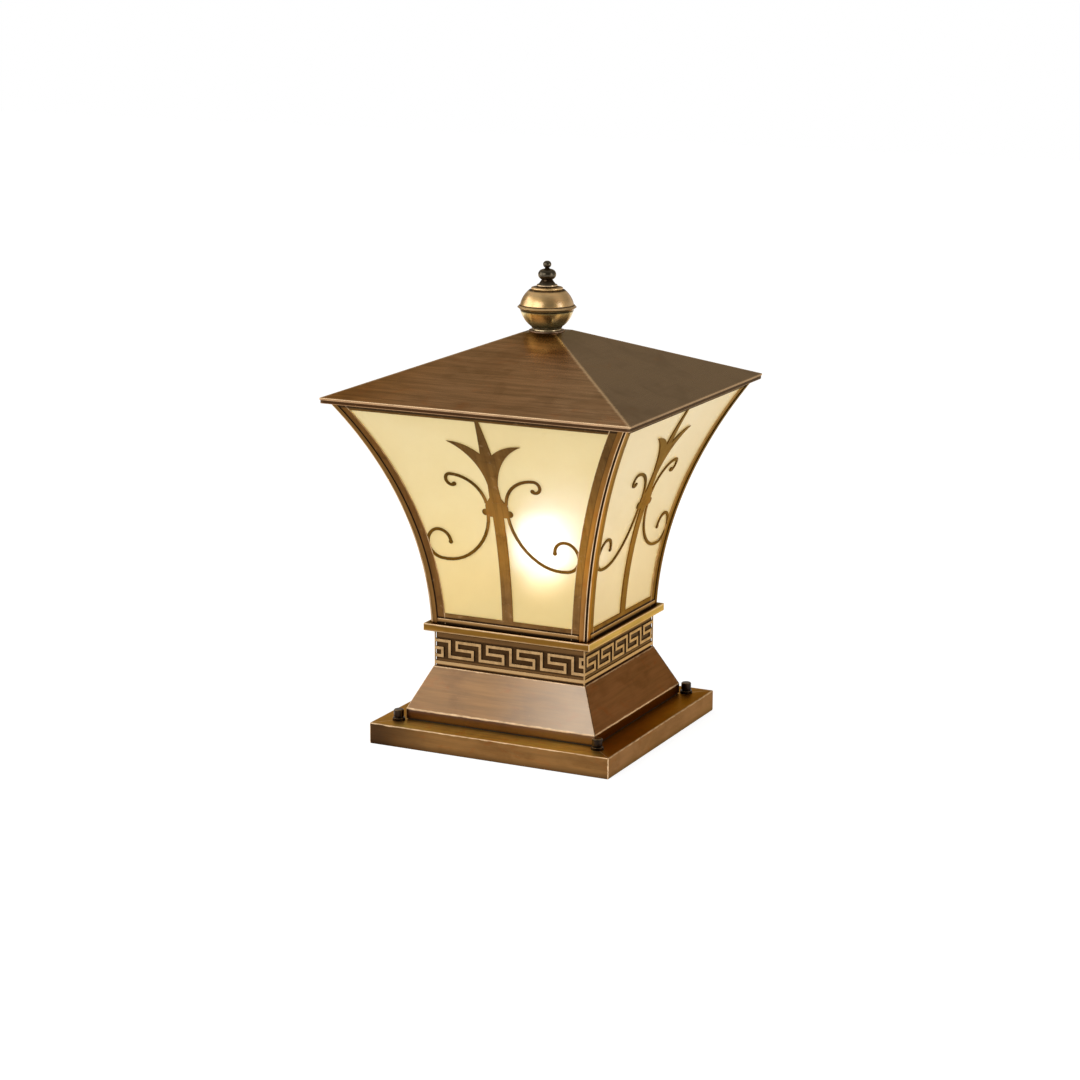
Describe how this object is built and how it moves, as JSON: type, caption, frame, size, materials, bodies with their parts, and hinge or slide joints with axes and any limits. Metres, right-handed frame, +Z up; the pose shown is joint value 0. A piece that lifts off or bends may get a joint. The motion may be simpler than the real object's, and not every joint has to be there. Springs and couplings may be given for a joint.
{
  "type": "pillar light",
  "caption": "Square pillar-top lantern with flared amber glass sides, scrolled grilles, key-pattern band, stepped base, pyramid roof and turned finial.",
  "frame": {"origin": "centre of the underside of the base box, on the plane the light stands on", "axes": "+Z up through the finial, -Y out of the front side, +X out of the right side"},
  "size_m": [0.3136, 0.3136, 0.4548],
  "materials": {
    "bronze_sheet": "antique brushed bronze with worn lighter edges",
    "key_brass": "antique brass, dark recesses, rubbed bright lines",
    "frame_bronze": "dark antique bronze, brushed along its length",
    "grille_bronze": "dark antique bronze, satin",
    "finial_brass": "antique brass, polished and toned",
    "dark_bronze": "dark bronze, satin",
    "amber_glass": "frosted amber glass, lit from inside",
    "zinc_steel": "zinc plated",
    "black_rubber": "matte",
    "porcelain": "glazed white",
    "contact_brass": "plain bright brass",
    "white_plastic": "matte",
    "brown_wire": "matte insulation",
    "blue_wire": "matte insulation",
    "green_yellow_wire": "matte insulation",
    "cap_metal": "bright",
    "bulb_glass": "frosted, lit",
    "filament": "warm white filaments on a clear stem"
  },
  "bodies": {
    "lantern": {"mounting_plate": "zinc_steel", "fixing_studs": "zinc_steel", "stud_spacers": "zinc_steel", "cable_grommet": "black_rubber", "base_box": "bronze_sheet", "stud_washers": "dark_bronze", "cap_nuts": "dark_bronze", "skirt_gasket": "black_rubber", "skirt": "bronze_sheet", "key_band": "key_brass", "collar": "bronze_sheet", "tie_rods": "zinc_steel", "tie_nuts": "zinc_steel", "post_front_right": "frame_bronze", "post_back_right": "frame_bronze", "post_back_left": "frame_bronze", "post_front_left": "frame_bronze", "grille_front": "grille_bronze", "grille_right": "grille_bronze", "grille_back": "grille_bronze", "grille_left": "grille_bronze", "foot_strip_front": "frame_bronze", "foot_strip_right": "frame_bronze", "foot_strip_back": "frame_bronze", "foot_strip_left": "frame_bronze", "glass_front": "amber_glass", "glass_right": "amber_glass", "glass_back": "amber_glass", "glass_left": "amber_glass", "retainer_front_right": "zinc_steel", "retainer_back_right": "zinc_steel", "retainer_back_left": "zinc_steel", "retainer_front_left": "zinc_steel", "sill_frame": "zinc_steel", "sill_screws": "zinc_steel", "top_frame": "zinc_steel", "cross_bar": "zinc_steel", "bar_screws": "zinc_steel", "finial_rod": "zinc_steel", "rod_nuts": "zinc_steel", "roof_seal": "black_rubber", "holder_bracket": "zinc_steel", "bracket_screws": "zinc_steel", "holder_body": "porcelain", "holder_shell": "contact_brass", "holder_contact": "contact_brass", "terminal_block": "white_plastic", "terminal_screws": "zinc_steel", "live_wire": "brown_wire", "neutral_wire": "blue_wire", "earth_wire": "green_yellow_wire", "earth_screw": "contact_brass"},
    "roof": {"roof_shell": "bronze_sheet"},
    "finial_carrier": {"finial_washer": "finial_brass"},
    "finial": {"finial_body": "finial_brass", "finial_knob": "finial_brass"},
    "bulb_carrier": {"bulb_contact": "cap_metal"},
    "bulb": {"bulb_cap": "cap_metal", "bulb_globe": "bulb_glass", "bulb_filament": "filament"}
  },
  "joints": [
    {"name": "roof_lift", "type": "slide", "parent": "lantern", "child": "roof", "axis": [0, 0, 1], "range_m": [0, 0.15]},
    {"name": "finial_rise", "type": "slide", "parent": "roof", "child": "finial_carrier", "axis": [0, 0, 1], "range_m": [0, 0.0101]},
    {"name": "finial_turn", "type": "hinge", "parent": "finial_carrier", "child": "finial", "pos_m": [0, 0, 0.4], "axis": [0, 0, 1], "range_deg": [0, 2880]},
    {"name": "bulb_rise", "type": "slide", "parent": "lantern", "child": "bulb_carrier", "axis": [0, 0, 1], "range_m": [0, 0.011]},
    {"name": "bulb_turn", "type": "hinge", "parent": "bulb_carrier", "child": "bulb", "pos_m": [0, 0, 0.12], "axis": [0, 0, 1], "range_deg": [0, 1080]}
  ],
  "couplings": [
    {"joint": "finial_rise", "follows": "finial_turn", "m_per_rad": 0.00019894},
    {"joint": "bulb_rise", "follows": "bulb_turn", "m_per_rad": 0.00057757}
  ]
}
